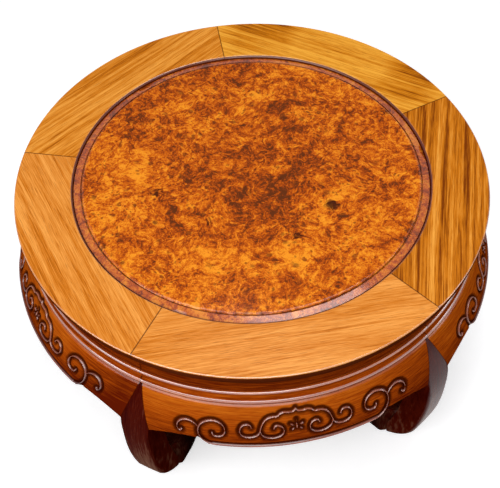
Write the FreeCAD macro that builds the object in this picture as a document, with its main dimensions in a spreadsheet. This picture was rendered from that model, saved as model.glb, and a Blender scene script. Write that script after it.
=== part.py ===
import FreeCAD, Part
import math
import os
import re
import Sketcher
from FreeCAD import Placement, Rotation, Vector

# Round low table with a waisted frame: a mitred rim round a floating burl panel, a waist,
# a moulding, bulged aprons and drum legs with scroll feet. Millimetres, +Z up, floor at Z 0,
# the table's axis on Z, one apron facing -Y.

# Driving dimensions: name, size, what it is
SIZES = (
    ("top_diameter", 900, "outer diameter of the rim"),
    ("table_height", 480, "floor to the top of the rim"),
    ("segment_count", 5, "rim segments, aprons and legs"),
    ("fit_gap", 0.3, "play round a loose tongue or a curved seat"),
    ("rim_width", 110, "rim, from its outer to its inner edge"),
    ("rim_thickness", 38, "rim, top to underside"),
    ("rim_edge_recess", 14, "how far the rim's edge falls back at its foot"),
    ("rim_edge_band", 7, "upright band under the rim's arris"),
    ("rim_bead_height", 5, "bead at the foot of the rim's edge"),
    ("rim_round", 2.5, "rounding of the rim's outer arris"),
    ("inner_round", 6, "rounding of the rim's inner arris"),
    ("rim_tenon_length", 30, "mitre tenon between two rim segments"),
    ("rim_tenon_width", 34, "mitre tenon, measured across the rim"),
    ("rim_tenon_thickness", 11, "mitre tenon, measured upright"),
    ("rim_tenon_inset", 18, "mitre tenon to the rim's inner edge"),
    ("rim_tenon_lift", 15, "mitre tenon above the rim's underside"),
    ("panel_thickness", 16, "burl panel at its field"),
    ("panel_play", 1, "shadow gap between the panel and the rim"),
    ("field_drop", 0.5, "field below the rim's top"),
    ("border_drop", 5.5, "outer edge of the sloped border below the rim's top"),
    ("border_rise", 2, "rise of the sloped border towards the field"),
    ("border_width", 14, "rim to the inner edge of the sloped border"),
    ("quirk_width", 2.5, "sunk line between the border and the field"),
    ("quirk_depth", 2, "sunk line below the border"),
    ("field_round", 4, "rounding of the field's arris"),
    ("tongue_length", 9, "panel tongue in the rim's groove"),
    ("tongue_thickness", 6, "panel tongue"),
    ("batten_spacing", 240, "between the two battens' centre lines"),
    ("batten_width", 42, "batten under the panel"),
    ("batten_height", 28, "batten below the panel"),
    ("dovetail_depth", 5, "batten's dovetail in the panel"),
    ("dovetail_neck", 30, "batten's dovetail at its root"),
    ("dovetail_flare", 3, "how much the dovetail widens on each side"),
    ("batten_tenon_length", 20, "batten tenon in the rim"),
    ("batten_tenon_thickness", 14, "batten tenon, measured upright"),
    ("batten_tenon_width", 28, "batten tenon, measured across"),
    ("batten_tenon_lift", 3, "batten tenon above the rim's underside"),
    ("waist_setback", 20, "waist's face behind the rim's arris"),
    ("waist_thickness", 20, "waist strip"),
    ("waist_height", 36, "waist strip without its tongue"),
    ("waist_tongue_height", 5, "waist tongue in the rim's underside"),
    ("waist_tongue_width", 8, "waist tongue"),
    ("moulding_height", 34, "moulding between waist and apron"),
    ("lower_bead_height", 11, "lower bead of the moulding"),
    ("upper_bead_height", 8, "upper bead of the moulding"),
    ("lower_bead_reach", 6, "foot of the lower bead beyond the waist's face"),
    ("upper_bead_reach", 3.5, "foot of the upper bead beyond the waist's face"),
    ("cove_reach", 2.5, "neck of the cove beyond the waist's face"),
    ("cove_radius", 12, "hollow of the cove"),
    ("shoulder_setback", 12, "apron's shoulder behind the rim's arris"),
    ("shoulder_round", 4, "height of the rounded shoulder"),
    ("drum_bulge", 48.5, "widest point of the legs beyond the shoulder"),
    ("drum_drop", 142, "widest point of the legs below the shoulder"),
    ("apron_depth", 81.5, "apron at its middle"),
    ("apron_thickness", 24, "apron, square to its face"),
    ("arch_rise", 14, "arch beside the apron's deeper middle"),
    ("arch_crown", 5, "crown of the arch above the line between its ends"),
    ("middle_width", 310, "deeper middle of the apron"),
    ("notch_width", 17, "step between the middle and the arch"),
    ("apron_tenon_length", 11, "apron tenon in the leg"),
    ("apron_tenon_thickness", 10, "apron tenon, measured across the apron"),
    ("apron_tenon_height", 26, "apron tenon, measured upright"),
    ("apron_tenon_drop", 39, "apron tenon below the shoulder"),
    ("leg_width", 58, "leg, side to side"),
    ("leg_thickness", 52, "leg at its widest point, front to back"),
    ("leg_point", 4, "width of the pointed top of the leg's face"),
    ("leg_round", 10, "rounding of the leg's outer corners below the aprons"),
    ("round_overrun", 0.12, "how far the rounding's ends lie off the leg"),
    ("leg_tenon_height", 12, "twin tenons on top of the leg"),
    ("leg_tenon_gap", 10, "between the twin tenons"),
    ("leg_tenon_shoulder", 8, "shoulder round the twin tenons"),
    ("shin_lean", 15, "slope of the shin where the foot's curve starts, degrees"),
    ("foot_radius", 140, "round of the foot"),
    ("toe_angle", 57, "turn of the foot's curve where the scroll starts, degrees"),
    ("heel_height", 17, "end of the foot's curve above the floor"),
    ("ankle_height", 56, "ankle above the floor"),
    ("ankle_inset", 3, "ankle behind the end of the foot's curve"),
    ("scroll_radius", 46, "scroll of the foot"),
    ("scroll_inset", 38, "scroll's centre behind the end of the foot's curve"),
    ("scroll_width", 38, "scroll, side to side"),
    ("web_round", 64, "hollow between the scroll's top and the leg"),
    ("sole_cut", 2, "flat cut under the scroll"),
    ("scroll_eye_radius", 11, "boss at the scroll's centre"),
    ("scroll_eye_reach", 4, "boss beyond the scroll's side"),
)

# Sizes that follow from the driving ones
FORMULAS = {
    "half_sector": "180 / segment_count",
    "rim_radius": "top_diameter / 2",
    "inner_radius": "rim_radius - rim_width",
    "rim_under": "table_height - rim_thickness",
    "edge_foot": "rim_radius - rim_edge_recess",
    "edge_rise": "rim_thickness - rim_edge_band - rim_bead_height",
    "edge_arc": "(edge_rise ^ 2 + rim_edge_recess ^ 2) / (2 * rim_edge_recess)",
    "field_top": "table_height - field_drop",
    "border_top": "table_height - border_drop",
    "panel_under": "field_top - panel_thickness",
    "panel_edge": "inner_radius - panel_play",
    "border_inner": "border_top + border_rise",
    "quirk_radius": "inner_radius - border_width",
    "quirk_low": "border_inner - quirk_depth",
    "field_radius": "quirk_radius - quirk_width",
    "tongue_end": "inner_radius + tongue_length",
    "tongue_top": "panel_under + tongue_thickness",
    "rim_tenon_low": "rim_under + rim_tenon_lift",
    "rim_tenon_near": "inner_radius + rim_tenon_inset",
    "batten_low": "panel_under - batten_height",
    "waist_face": "rim_radius - waist_setback",
    "waist_back": "waist_face - waist_thickness",
    "waist_middle": "waist_face - waist_thickness / 2",
    "waist_low": "rim_under - waist_height",
    "shoulder_height": "waist_low - moulding_height",
    "shoulder_radius": "rim_radius - shoulder_setback",
    "widest_radius": "shoulder_radius + drum_bulge",
    "widest_height": "shoulder_height - drum_drop",
    "drum_arc": "(drum_drop ^ 2 + drum_bulge ^ 2) / (2 * drum_bulge)",
    "drum_centre": "widest_radius - drum_arc",
    "round_height": "shoulder_height - shoulder_round",
    "round_radius": "drum_centre + sqrt(drum_arc ^ 2 - (drum_drop - shoulder_round) ^ 2)",
    "apron_low": "shoulder_height - apron_depth",
    "apron_low_radius": "drum_centre + sqrt(drum_arc ^ 2 - (drum_drop - apron_depth) ^ 2)",
    "back_arc": "drum_arc - apron_thickness",
    "back_top_radius": "drum_centre + sqrt(back_arc ^ 2 - drum_drop ^ 2)",
    "back_low_radius": "drum_centre + sqrt(back_arc ^ 2 - (drum_drop - apron_depth) ^ 2)",
    "arch_end": "apron_low_radius * sin(half_sector) - leg_width / 2 * cos(half_sector)",
    "arch_start": "middle_width / 2 + notch_width",
    "arch_chord": "sqrt((arch_end - arch_start) ^ 2 + arch_rise ^ 2)",
    "tenon_middle": "drum_centre + sqrt((drum_arc - apron_thickness / 2) ^ 2"
                    " - (drum_drop - apron_tenon_drop - apron_tenon_height / 2) ^ 2)",
    "tenon_top": "shoulder_height - apron_tenon_drop",
    "mitre_slope": "(leg_width - leg_point) / 2 / apron_depth",
    "tenon_mitre": "leg_point / 2 + mitre_slope * (apron_tenon_drop + apron_tenon_height)",
    "inner_arc": "drum_arc - leg_thickness",
    "inner_widest": "widest_radius - leg_thickness",
    "stub_back": "drum_centre + sqrt(inner_arc ^ 2 - drum_drop ^ 2)",
    "stub_front": "waist_back - fit_gap",
    "shin_arc": "foot_radius + (widest_height - heel_height - foot_radius * sin(toe_angle)) / sin(shin_lean)",
    "heel_radius": "widest_radius - shin_arc * (1 - cos(shin_lean))",
    "heel_top": "widest_height - shin_arc * sin(shin_lean)",
    "toe_radius": "heel_radius - foot_radius * (cos(shin_lean) - cos(toe_angle))",
    "ankle_radius": "toe_radius - ankle_inset",
    "ankle_rise": "widest_height - ankle_height",
    "ankle_fall": "inner_widest - ankle_radius",
    "ankle_arc": "(ankle_rise ^ 2 + ankle_fall ^ 2) / (2 * ankle_fall)",
    "corner_shift": "leg_width ^ 2 / 8 / widest_radius",
    "corner_bulge": "(leg_width - leg_round) * leg_round / 2 / widest_radius",
    "run_out": "toe_angle + 10",
    "run_radius": "heel_radius - foot_radius * (cos(shin_lean) - cos(run_out))",
    "run_height": "heel_height - foot_radius * (sin(run_out) - sin(toe_angle))",
    "scroll_centre": "toe_radius - scroll_inset",
    "scroll_lift": "scroll_radius - sole_cut",
    "sole_half": "sqrt(scroll_radius ^ 2 - scroll_lift ^ 2)",
}

FRONT = -90.0
XY, XZ, YZ = "XY_Plane", "XZ_Plane", "YZ_Plane"
LINE, LEFT, RIGHT = "line", "left", "right"

doc = FreeCAD.newDocument("round_table")
sheet = doc.addObject("Spreadsheet::Sheet", "sizes")
NAMES = {name for name, size, note in SIZES}
for row, (name, size, note) in enumerate(SIZES, start=1):
    sheet.set(f"A{row}", note)
    sheet.set(f"B{row}", str(size))
    sheet.setAlias(f"B{row}", name)
doc.recompute()


def bound(text):
    """A formula in plain names, written out in the sheet's cells."""
    def swap(match):
        word = match.group()
        if word in FORMULAS:
            return f"({bound(FORMULAS[word])})"
        return f"sizes.{word}" if word in NAMES else word
    return re.sub(r"[a-z_]+", swap, text)


def number(text):
    """The present value of a formula in plain names."""
    value = sheet.evalExpression(bound(text))
    return float(getattr(value, "Value", value))


COUNT = round(number("segment_count"))
HALF_SECTOR = number("half_sector")


def sector_angle(index):
    """Azimuth of the middle of a sector; sector 0 faces the front."""
    return FRONT + 2 * HALF_SECTOR * index


def leg_angle(index):
    """Azimuth of a leg; leg 0 stands at the left end of the front apron."""
    return FRONT + HALF_SECTOR * (2 * index - 1)


def turned(angle):
    return Placement(Vector(0, 0, 0), Rotation(Vector(0, 0, 1), angle))


def new_body(label, angle=0.0):
    body = doc.addObject("PartDesign::Body", label)
    body.Label = label
    body.Placement = turned(angle)
    return body


def arc_edge(start, end, radius, turn):
    """The short arc from start to end that turns left or right; returns it with its end order."""
    if turn == RIGHT:
        start, end = end, start
    chord = end - start
    reach = math.sqrt(max(radius ** 2 - (chord.Length / 2) ** 2, 0.0))
    centre = (start + end) * 0.5 + Vector(-chord.y, chord.x, 0).normalize() * reach
    first = math.atan2(start.y - centre.y, start.x - centre.x)
    last = math.atan2(end.y - centre.y, end.x - centre.x)
    if last < first:
        last += 2 * math.pi
    circle = Part.Circle(centre, Vector(0, 0, 1), radius)
    return Part.ArcOfCircle(circle, first, last)


def add_outline(sketch, corners, closed=True):
    """One outline. Each corner is x, y and the edge that leaves it: a line or an arc."""
    corners = [corner if len(corner) == 4 else (*corner, LINE, "0") for corner in corners]
    places = [Vector(number(x), number(y), 0) for x, y, kind, radius in corners]
    ends = []
    for index, (x, y, kind, radius) in enumerate(corners if closed else corners[:-1]):
        start, end = places[index], places[(index + 1) % len(places)]
        if kind == LINE:
            edge = sketch.addGeometry(Part.LineSegment(start, end))
        else:
            edge = sketch.addGeometry(arc_edge(start, end, number(radius), kind))
            pin = sketch.addConstraint(Sketcher.Constraint("Radius", edge, number(radius)))
            sketch.setExpression(f"Constraints[{pin}]", bound(radius))
        ends.append((edge, 2, 1) if kind == RIGHT else (edge, 1, 2))
    pinned = [(edge, first) for edge, first, last in ends]
    for (edge, first, last), after in zip(ends, ends[1:] + ends[:1] if closed else ends[1:]):
        sketch.addConstraint(Sketcher.Constraint("Coincident", edge, last, *after[:2]))
    if not closed:
        pinned.append((ends[-1][0], ends[-1][2]))
    for (edge, end), corner in zip(pinned, corners):
        for axis, place in (("X", corner[0]), ("Y", corner[1])):
            pin = sketch.addConstraint(
                Sketcher.Constraint("Distance" + axis, -1, 1, edge, end, number(place)))
            sketch.setExpression(f"Constraints[{pin}]", bound(place))


def add_circle(sketch, x, y, radius):
    centre = Vector(number(x), number(y), 0)
    edge = sketch.addGeometry(Part.Circle(centre, Vector(0, 0, 1), number(radius)))
    for kind, place in (("DistanceX", x), ("DistanceY", y)):
        pin = sketch.addConstraint(Sketcher.Constraint(kind, -1, 1, edge, 3, number(place)))
        sketch.setExpression(f"Constraints[{pin}]", bound(place))
    pin = sketch.addConstraint(Sketcher.Constraint("Radius", edge, number(radius)))
    sketch.setExpression(f"Constraints[{pin}]", bound(radius))


def new_sketch(body, name, role, angle=0.0, lift=None):
    """A sketch on one of the body's own planes, turned about the table's axis or lifted off."""
    sketch = body.newObject("Sketcher::SketchObject", f"{body.Name}_{name}")
    plane = next(item for item in body.Origin.OriginFeatures if item.Role == role)
    sketch.AttachmentSupport = [(plane, "")]
    sketch.MapMode = "FlatFace"
    axis = Vector(0, 0, 1) if role == XY else Vector(0, 1, 0)
    sketch.AttachmentOffset = Placement(Vector(0, 0, 0), Rotation(axis, angle))
    if lift:
        sketch.setExpression("AttachmentOffset.Base.z", bound(lift))
    return sketch


def rectangle(left, right, low, high):
    return [(left, low), (right, low), (right, high), (left, high)]


def revolve(body, sketch, sweep):
    """Turn a radial profile about the table's axis, half of the sweep to each side."""
    feature = body.newObject("PartDesign::Revolution", f"{sketch.Name}_turned")
    feature.Profile = sketch
    feature.ReferenceAxis = (sketch, ["V_Axis"])
    feature.Midplane = True
    feature.setExpression("Angle", bound(sweep))
    return feature


def pad(body, sketch, length, midplane=False, backwards=False):
    feature = body.newObject("PartDesign::Pad", f"{sketch.Name}_pad")
    feature.Profile = sketch
    feature.setExpression("Length", bound(length))
    feature.Midplane = midplane
    feature.Reversed = backwards
    return feature


def pocket(body, sketch, length=None, backwards=False):
    """Cut a sketch to a depth, or right through; a cut that removes nothing is a fault."""
    doc.recompute()
    before = body.Shape.Volume
    feature = body.newObject("PartDesign::Pocket", f"{sketch.Name}_cut")
    feature.Profile = sketch
    feature.Reversed = backwards
    if length:
        feature.setExpression("Length", bound(length))
    else:
        feature.Type = "ThroughAll"
    doc.recompute()
    if body.Shape.Volume >= before:
        raise RuntimeError(f"{sketch.Name} cuts nothing")
    return feature


def run_along(body, sketch, path):
    """Cut a sketch along the edges of a path; a cut that removes nothing is a fault."""
    doc.recompute()
    before = body.Shape.Volume
    feature = body.newObject("PartDesign::SubtractivePipe", f"{sketch.Name}_run")
    feature.Profile = sketch
    feature.Spine = (path, [f"Edge{index + 1}" for index in range(path.GeometryCount)])
    doc.recompute()
    if body.Shape.Volume >= before:
        raise RuntimeError(f"{sketch.Name} cuts nothing")
    return feature


def part_object(kind, label, **links):
    feature = doc.addObject(kind, label)
    feature.Label = label
    for name, value in links.items():
        setattr(feature, name, value)
    return feature


def make_batten(label, side):
    """A batten along Y: dovetailed into the panel, rounded to the rim's wall, tenoned into it."""
    middle = f"{side} * batten_spacing / 2"
    blank = new_body(f"{label}_blank")
    section = new_sketch(blank, "section", XZ)
    neck = "dovetail_neck / 2"
    head = "dovetail_neck / 2 + dovetail_flare"
    body_half = "batten_width / 2"
    dovetail_top = "panel_under + dovetail_depth"
    add_outline(section, [
        (f"{middle} - {body_half}", "batten_low"),
        (f"{middle} + {body_half}", "batten_low"),
        (f"{middle} + {body_half}", "panel_under"),
        (f"{middle} + {neck}", "panel_under"),
        (f"{middle} + ({head})", dovetail_top),
        (f"{middle} - ({head})", dovetail_top),
        (f"{middle} - {neck}", "panel_under"),
        (f"{middle} - {body_half}", "panel_under"),
    ])
    pad(blank, section, "2 * rim_radius", midplane=True)
    wall = part_object("Part::Cylinder", f"{label}_wall")
    wall.setExpression("Radius", bound("inner_radius - fit_gap"))
    wall.setExpression("Height", bound("table_height"))
    bar = part_object("Part::Common", f"{label}_bar", Base=blank, Tool=wall)
    tenon = part_object("Part::Box", f"{label}_tenon")
    half_length = "(sqrt(inner_radius ^ 2 - (batten_spacing / 2) ^ 2) + batten_tenon_length)"
    tenon.setExpression("Length", bound("batten_tenon_width"))
    tenon.setExpression("Width", bound(f"2 * {half_length}"))
    tenon.setExpression("Height", bound("batten_tenon_thickness"))
    tenon.setExpression("Placement.Base.x", bound(f"{middle} - batten_tenon_width / 2"))
    tenon.setExpression("Placement.Base.y", bound(f"-{half_length}"))
    tenon.setExpression("Placement.Base.z", bound("rim_under + batten_tenon_lift"))
    return part_object("Part::Fuse", label, Base=bar, Tool=tenon)


def make_panel(label, battens):
    """The burl panel: raised field, sunk line, sloped border and tongue; dovetail ways below."""
    blank = new_body(f"{label}_blank")
    section = new_sketch(blank, "section", XZ)
    add_outline(section, [
        ("0", "panel_under"),
        ("tongue_end", "panel_under"),
        ("tongue_end", "tongue_top"),
        ("panel_edge", "tongue_top"),
        ("panel_edge", "border_top"),
        ("quirk_radius", "border_inner"),
        ("quirk_radius", "quirk_low"),
        ("field_radius", "quirk_low"),
        ("field_radius", "field_top - field_round", LEFT, "field_round"),
        ("field_radius - field_round", "field_top"),
        ("0", "field_top"),
    ])
    revolve(blank, section, "360")
    return part_object("Part::Cut", label, Base=blank, Tool=battens)


def make_waist(label, angle):
    """A plain waist strip with a tongue that enters the rim's underside."""
    strip = new_body(label, angle)
    section = new_sketch(strip, "section", XZ)
    half_tongue = "waist_tongue_width / 2"
    add_outline(section, [
        ("waist_back", "waist_low"),
        ("waist_face", "waist_low"),
        ("waist_face", "rim_under"),
        (f"waist_middle + {half_tongue}", "rim_under"),
        (f"waist_middle + {half_tongue}", "rim_under + waist_tongue_height"),
        (f"waist_middle - {half_tongue}", "rim_under + waist_tongue_height"),
        (f"waist_middle - {half_tongue}", "rim_under"),
        ("waist_back", "rim_under"),
    ])
    revolve(strip, section, "2 * half_sector")
    return strip


def make_moulding(label, angle):
    """The moulding under the waist: a lower bead, a cove and an upper bead."""
    strip = new_body(label, angle)
    section = new_sketch(strip, "section", XZ)
    lower = "waist_face + lower_bead_reach"
    upper = "waist_face + upper_bead_reach"
    neck = "waist_face + cove_reach"
    lower_top = "shoulder_height + lower_bead_height"
    upper_low = "waist_low - upper_bead_height"
    add_outline(section, [
        ("waist_back", "shoulder_height"),
        (lower, "shoulder_height", LEFT, "lower_bead_height * 0.55"),
        (lower, lower_top),
        (neck, lower_top, RIGHT, "cove_radius"),
        (neck, upper_low),
        (upper, upper_low, LEFT, "upper_bead_height * 0.55"),
        (upper, "waist_low"),
        ("waist_back", "waist_low"),
    ])
    revolve(strip, section, "2 * half_sector")
    return strip


def drum_shoulder():
    """The rounded shoulder that aprons and legs share, down to the drum's curve."""
    return [
        ("shoulder_radius - shoulder_round", "shoulder_height", RIGHT, "2 * shoulder_round"),
        ("round_radius", "round_height", RIGHT, "drum_arc"),
    ]


def make_apron(label, angle):
    """A bulged apron: deeper middle, an arch at each side, mitred and tenoned at both ends."""
    apron = new_body(label, angle)
    section = new_sketch(apron, "section", XZ)
    add_outline(section, [
        ("back_top_radius", "shoulder_height"),
        *drum_shoulder(),
        ("apron_low_radius", "apron_low"),
        ("back_low_radius", "apron_low", LEFT, "back_arc"),
    ])
    revolve(apron, section, "2 * half_sector")
    arch_arc = "(arch_chord ^ 2 / 4 + arch_crown ^ 2) / (2 * arch_crown)"
    for side, turn in (("1", RIGHT), ("-1", LEFT)):
        arch = new_sketch(apron, f"arch_{turn}", YZ)
        add_outline(arch, [
            (f"{side} * middle_width / 2", "apron_low - arch_rise"),
            (f"{side} * middle_width / 2", "apron_low"),
            (f"{side} * arch_start", "apron_low + arch_rise", turn, arch_arc),
            (f"{side} * arch_end", "apron_low"),
            (f"{side} * arch_end", "apron_low - arch_rise"),
        ])
        pocket(apron, arch, backwards=True)
    tip = "leg_point / 2"
    foot = "leg_width / 2"
    for name, end, side in (("left", -1, "1"), ("right", 1, "-1")):
        mitre = new_sketch(apron, f"mitre_{name}", YZ, end * HALF_SECTOR)
        reach = f"{side} * ({foot} + mitre_slope * arch_rise)"
        add_outline(mitre, [
            ("0", "shoulder_height + leg_point"),
            (f"{side} * {tip}", "shoulder_height + leg_point"),
            (f"{side} * {tip}", "shoulder_height"),
            (reach, "apron_low - arch_rise"),
            ("0", "apron_low - arch_rise"),
        ])
        pocket(apron, mitre, backwards=True)
    for name, end, side in (("left", -1, "-1"), ("right", 1, "1")):
        lift = f"{side} * (tenon_mitre - apron_tenon_length)"
        tenon = new_sketch(apron, f"tenon_{name}", XZ, end * HALF_SECTOR, lift)
        half = "apron_tenon_thickness / 2"
        add_outline(tenon, rectangle(f"tenon_middle - {half}", f"tenon_middle + {half}",
                                     "tenon_top - apron_tenon_height", "tenon_top"))
        pad(apron, tenon, "2 * apron_tenon_length", backwards=end < 0)
    return apron


def make_leg(label, angle, aprons):
    """A drum leg: stub and twin tenons on top, a pointed shoulder, a shin, a scroll foot."""
    blank = new_body(f"{label}_blank", angle)
    section = new_sketch(blank, "section", XZ)
    add_outline(section, [
        ("stub_back", "rim_under"),
        ("stub_front", "rim_under"),
        ("stub_front", "shoulder_height"),
        *drum_shoulder(),
        ("widest_radius", "widest_height", RIGHT, "shin_arc"),
        ("heel_radius", "heel_top", RIGHT, "foot_radius"),
        ("toe_radius", "heel_height"),
        ("ankle_radius", "ankle_height", LEFT, "ankle_arc"),
        ("inner_widest", "widest_height", LEFT, "inner_arc"),
        ("stub_back", "shoulder_height"),
    ])
    revolve(blank, section, "4 * asin(leg_width / 2 / ankle_radius)")
    for side in ("1", "-1"):
        flank = new_sketch(blank, f"flank_{'left' if side == '1' else 'right'}", XY)
        add_outline(flank, rectangle("0", "2 * rim_radius",
                                     f"{side} * leg_width / 2", f"{side} * 2 * leg_width"))
        pocket(blank, flank, backwards=True)
    for side, turn in (("1", RIGHT), ("-1", LEFT)):
        path = new_sketch(blank, f"corner_path_{turn}", XZ, lift=f"-{side} * leg_width / 2")
        add_outline(path, [
            ("widest_radius - corner_shift", "apron_low"),
            ("widest_radius - corner_shift", "widest_height", RIGHT, "shin_arc"),
            ("heel_radius - corner_shift", "heel_top", RIGHT, "foot_radius"),
            ("run_radius - corner_shift", "run_height"),
        ], closed=False)
        corner = new_sketch(blank, f"corner_{turn}", XY, lift="apron_low")
        inner = "widest_radius - leg_round - corner_shift + corner_bulge + round_overrun"
        near = f"{side} * (leg_width / 2 - leg_round + round_overrun)"
        far = f"{side} * (leg_width / 2 + leg_round)"
        add_outline(corner, [
            (inner, f"{side} * (leg_width / 2 + round_overrun)", turn, "leg_round"),
            (f"{inner} + leg_round", near),
            (f"{inner} + 2 * leg_round", near),
            (f"{inner} + 2 * leg_round", far),
            (inner, far),
        ])
        run_along(blank, corner, path)
    scroll = new_sketch(blank, "scroll", XZ)
    add_outline(scroll, [
        ("scroll_centre + sole_half", "0", LEFT, "scroll_radius"),
        ("scroll_centre", "scroll_lift + scroll_radius", LEFT, "scroll_radius"),
        ("scroll_centre - sole_half", "0"),
    ])
    pad(blank, scroll, "scroll_width", midplane=True)
    web = new_sketch(blank, "web", XZ)
    scroll_top = "scroll_lift + scroll_radius"
    add_outline(web, [
        ("scroll_centre", "scroll_lift"),
        ("toe_radius", "scroll_lift"),
        ("scroll_centre + web_round", f"{scroll_top} + web_round", RIGHT, "web_round"),
        ("scroll_centre", scroll_top),
    ])
    pad(blank, web, "scroll_width", midplane=True)
    eye = new_sketch(blank, "eye", XZ)
    add_circle(eye, "scroll_centre", "scroll_lift", "scroll_eye_radius")
    pad(blank, eye, "scroll_width + 2 * scroll_eye_reach", midplane=True)
    near = "stub_back + leg_tenon_shoulder"
    far = "stub_front - leg_tenon_shoulder"
    for side in ("1", "-1"):
        tenon = new_sketch(blank, f"tenon_{'left' if side == '1' else 'right'}", XY, lift="rim_under")
        add_outline(tenon, rectangle(near, far, f"{side} * leg_tenon_gap / 2",
                                     f"{side} * (leg_width / 2 - leg_tenon_shoulder)"))
        pad(blank, tenon, "leg_tenon_height")
    return part_object("Part::Cut", label, Base=blank, Tool=aprons)


def make_rim_segment(label, angle, guests):
    """A rim segment: moulded edge, panel groove, waist groove, mitre tenon and mortise."""
    blank = new_body(f"{label}_blank", angle)
    section = new_sketch(blank, "section", XZ)
    groove_half = "(waist_tongue_width / 2 + fit_gap)"
    groove_top = "rim_under + waist_tongue_height + fit_gap"
    add_outline(section, [
        ("inner_radius", "rim_under"),
        (f"waist_middle - {groove_half}", "rim_under"),
        (f"waist_middle - {groove_half}", groove_top),
        (f"waist_middle + {groove_half}", groove_top),
        (f"waist_middle + {groove_half}", "rim_under"),
        ("edge_foot", "rim_under", LEFT, "rim_bead_height * 0.55"),
        ("edge_foot", "rim_under + rim_bead_height", LEFT, "edge_arc"),
        ("rim_radius", "table_height - rim_edge_band"),
        ("rim_radius", "table_height - rim_round", LEFT, "rim_round"),
        ("rim_radius - rim_round", "table_height"),
        ("inner_radius + inner_round", "table_height", LEFT, "inner_round"),
        ("inner_radius", "table_height - inner_round"),
        ("inner_radius", "tongue_top + fit_gap"),
        ("tongue_end + fit_gap", "tongue_top + fit_gap"),
        ("tongue_end + fit_gap", "panel_under"),
        ("inner_radius", "panel_under"),
    ])
    revolve(blank, section, "2 * half_sector")
    tenon = new_sketch(blank, "tenon", XZ, HALF_SECTOR)
    add_outline(tenon, rectangle("rim_tenon_near", "rim_tenon_near + rim_tenon_width",
                                 "rim_tenon_low", "rim_tenon_low + rim_tenon_thickness"))
    pad(blank, tenon, "rim_tenon_length", backwards=True)
    mortise = new_sketch(blank, "mortise", XZ, -HALF_SECTOR)
    add_outline(mortise, rectangle("rim_tenon_near", "rim_tenon_near + rim_tenon_width",
                                   "rim_tenon_low", "rim_tenon_low + rim_tenon_thickness"))
    pocket(blank, mortise, "rim_tenon_length + fit_gap")
    return part_object("Part::Cut", label, Base=blank, Tool=guests)


def build():
    pieces = []
    battens = [make_batten(f"panel_batten_{index}", side) for index, side in ((1, "-1"), (2, "1"))]
    both_battens = part_object("Part::MultiFuse", "both_battens", Shapes=battens)
    pieces += battens
    pieces.append(make_panel("top_panel", both_battens))
    aprons, legs = [], []
    for index in range(COUNT):
        pieces.append(make_waist(f"waist_{index + 1}", sector_angle(index)))
        pieces.append(make_moulding(f"waist_moulding_{index + 1}", sector_angle(index)))
        aprons.append(make_apron(f"apron_{index + 1}", sector_angle(index)))
    for index in range(COUNT):
        pair = [aprons[index - 1], aprons[index]]
        joined = part_object("Part::MultiFuse", f"aprons_at_leg_{index + 1}", Shapes=pair)
        legs.append(make_leg(f"leg_{index + 1}", leg_angle(index), joined))
    pieces += aprons + legs
    guests = part_object("Part::MultiFuse", "rim_guests", Shapes=legs + battens)
    for index in range(COUNT):
        pieces.append(make_rim_segment(f"rim_segment_{index + 1}", sector_angle(index), guests))
    doc.recompute()
    return pieces


def check(pieces):
    for item in doc.Objects:
        if "Invalid" in item.State or "Error" in item.State:
            raise RuntimeError(f"{item.Label} failed: {item.State}")
    for piece in pieces:
        shape = piece.Shape
        if shape.isNull() or not shape.isValid() or len(shape.Solids) != 1:
            raise RuntimeError(f"{piece.Label} is not one valid solid")


def export(pieces):
    os.makedirs("parts", exist_ok=True)
    for piece in pieces:
        piece.Shape.exportStep(f"parts/{piece.Label}.step")
        print(piece.Label, round(piece.Shape.Volume / 1000, 1), "cm3")


table = build()
check(table)
export(table)
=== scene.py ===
# %% [markdown]
# A round low table in the Chinese manner: five rim boards round a burl panel, a waist, a moulding,
# five carved aprons and five drum legs. The solids come from the shared frame, in metres, and every
# piece below is made in that frame, so nothing has to be fitted by eye.

# %% The frame
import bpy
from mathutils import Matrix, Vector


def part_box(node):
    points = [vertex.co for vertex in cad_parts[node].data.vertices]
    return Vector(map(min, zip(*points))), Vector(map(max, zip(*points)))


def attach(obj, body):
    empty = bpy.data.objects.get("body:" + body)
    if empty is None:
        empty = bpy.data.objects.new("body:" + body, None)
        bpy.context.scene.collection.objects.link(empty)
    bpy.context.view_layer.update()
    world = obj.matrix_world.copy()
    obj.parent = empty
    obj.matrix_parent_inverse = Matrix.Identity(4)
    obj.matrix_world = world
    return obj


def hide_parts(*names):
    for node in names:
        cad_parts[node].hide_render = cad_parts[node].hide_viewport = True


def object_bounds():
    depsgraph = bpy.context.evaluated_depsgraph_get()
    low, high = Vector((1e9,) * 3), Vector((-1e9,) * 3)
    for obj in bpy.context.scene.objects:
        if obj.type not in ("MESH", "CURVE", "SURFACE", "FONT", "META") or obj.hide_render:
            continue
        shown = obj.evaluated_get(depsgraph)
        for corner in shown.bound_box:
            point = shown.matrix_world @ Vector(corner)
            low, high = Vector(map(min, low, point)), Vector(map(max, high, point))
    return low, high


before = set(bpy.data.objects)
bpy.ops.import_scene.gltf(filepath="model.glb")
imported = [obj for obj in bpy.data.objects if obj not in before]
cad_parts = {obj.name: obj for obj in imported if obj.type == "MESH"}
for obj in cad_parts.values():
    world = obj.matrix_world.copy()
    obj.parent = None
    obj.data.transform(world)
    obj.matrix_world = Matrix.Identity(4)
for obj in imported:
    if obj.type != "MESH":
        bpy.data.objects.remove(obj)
cad_box = [list(corner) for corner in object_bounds()]

import math
import bmesh
import bpy
import numpy as np
from mathutils import Matrix, Vector

TABLE_HEIGHT = cad_box[1][2]
SECTORS = 5
SECTOR_TURN = 2 * math.pi / SECTORS
FRONT = -math.pi / 2
scene = bpy.context.scene
print("table height", round(TABLE_HEIGHT, 4), "nodes", len(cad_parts))


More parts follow.
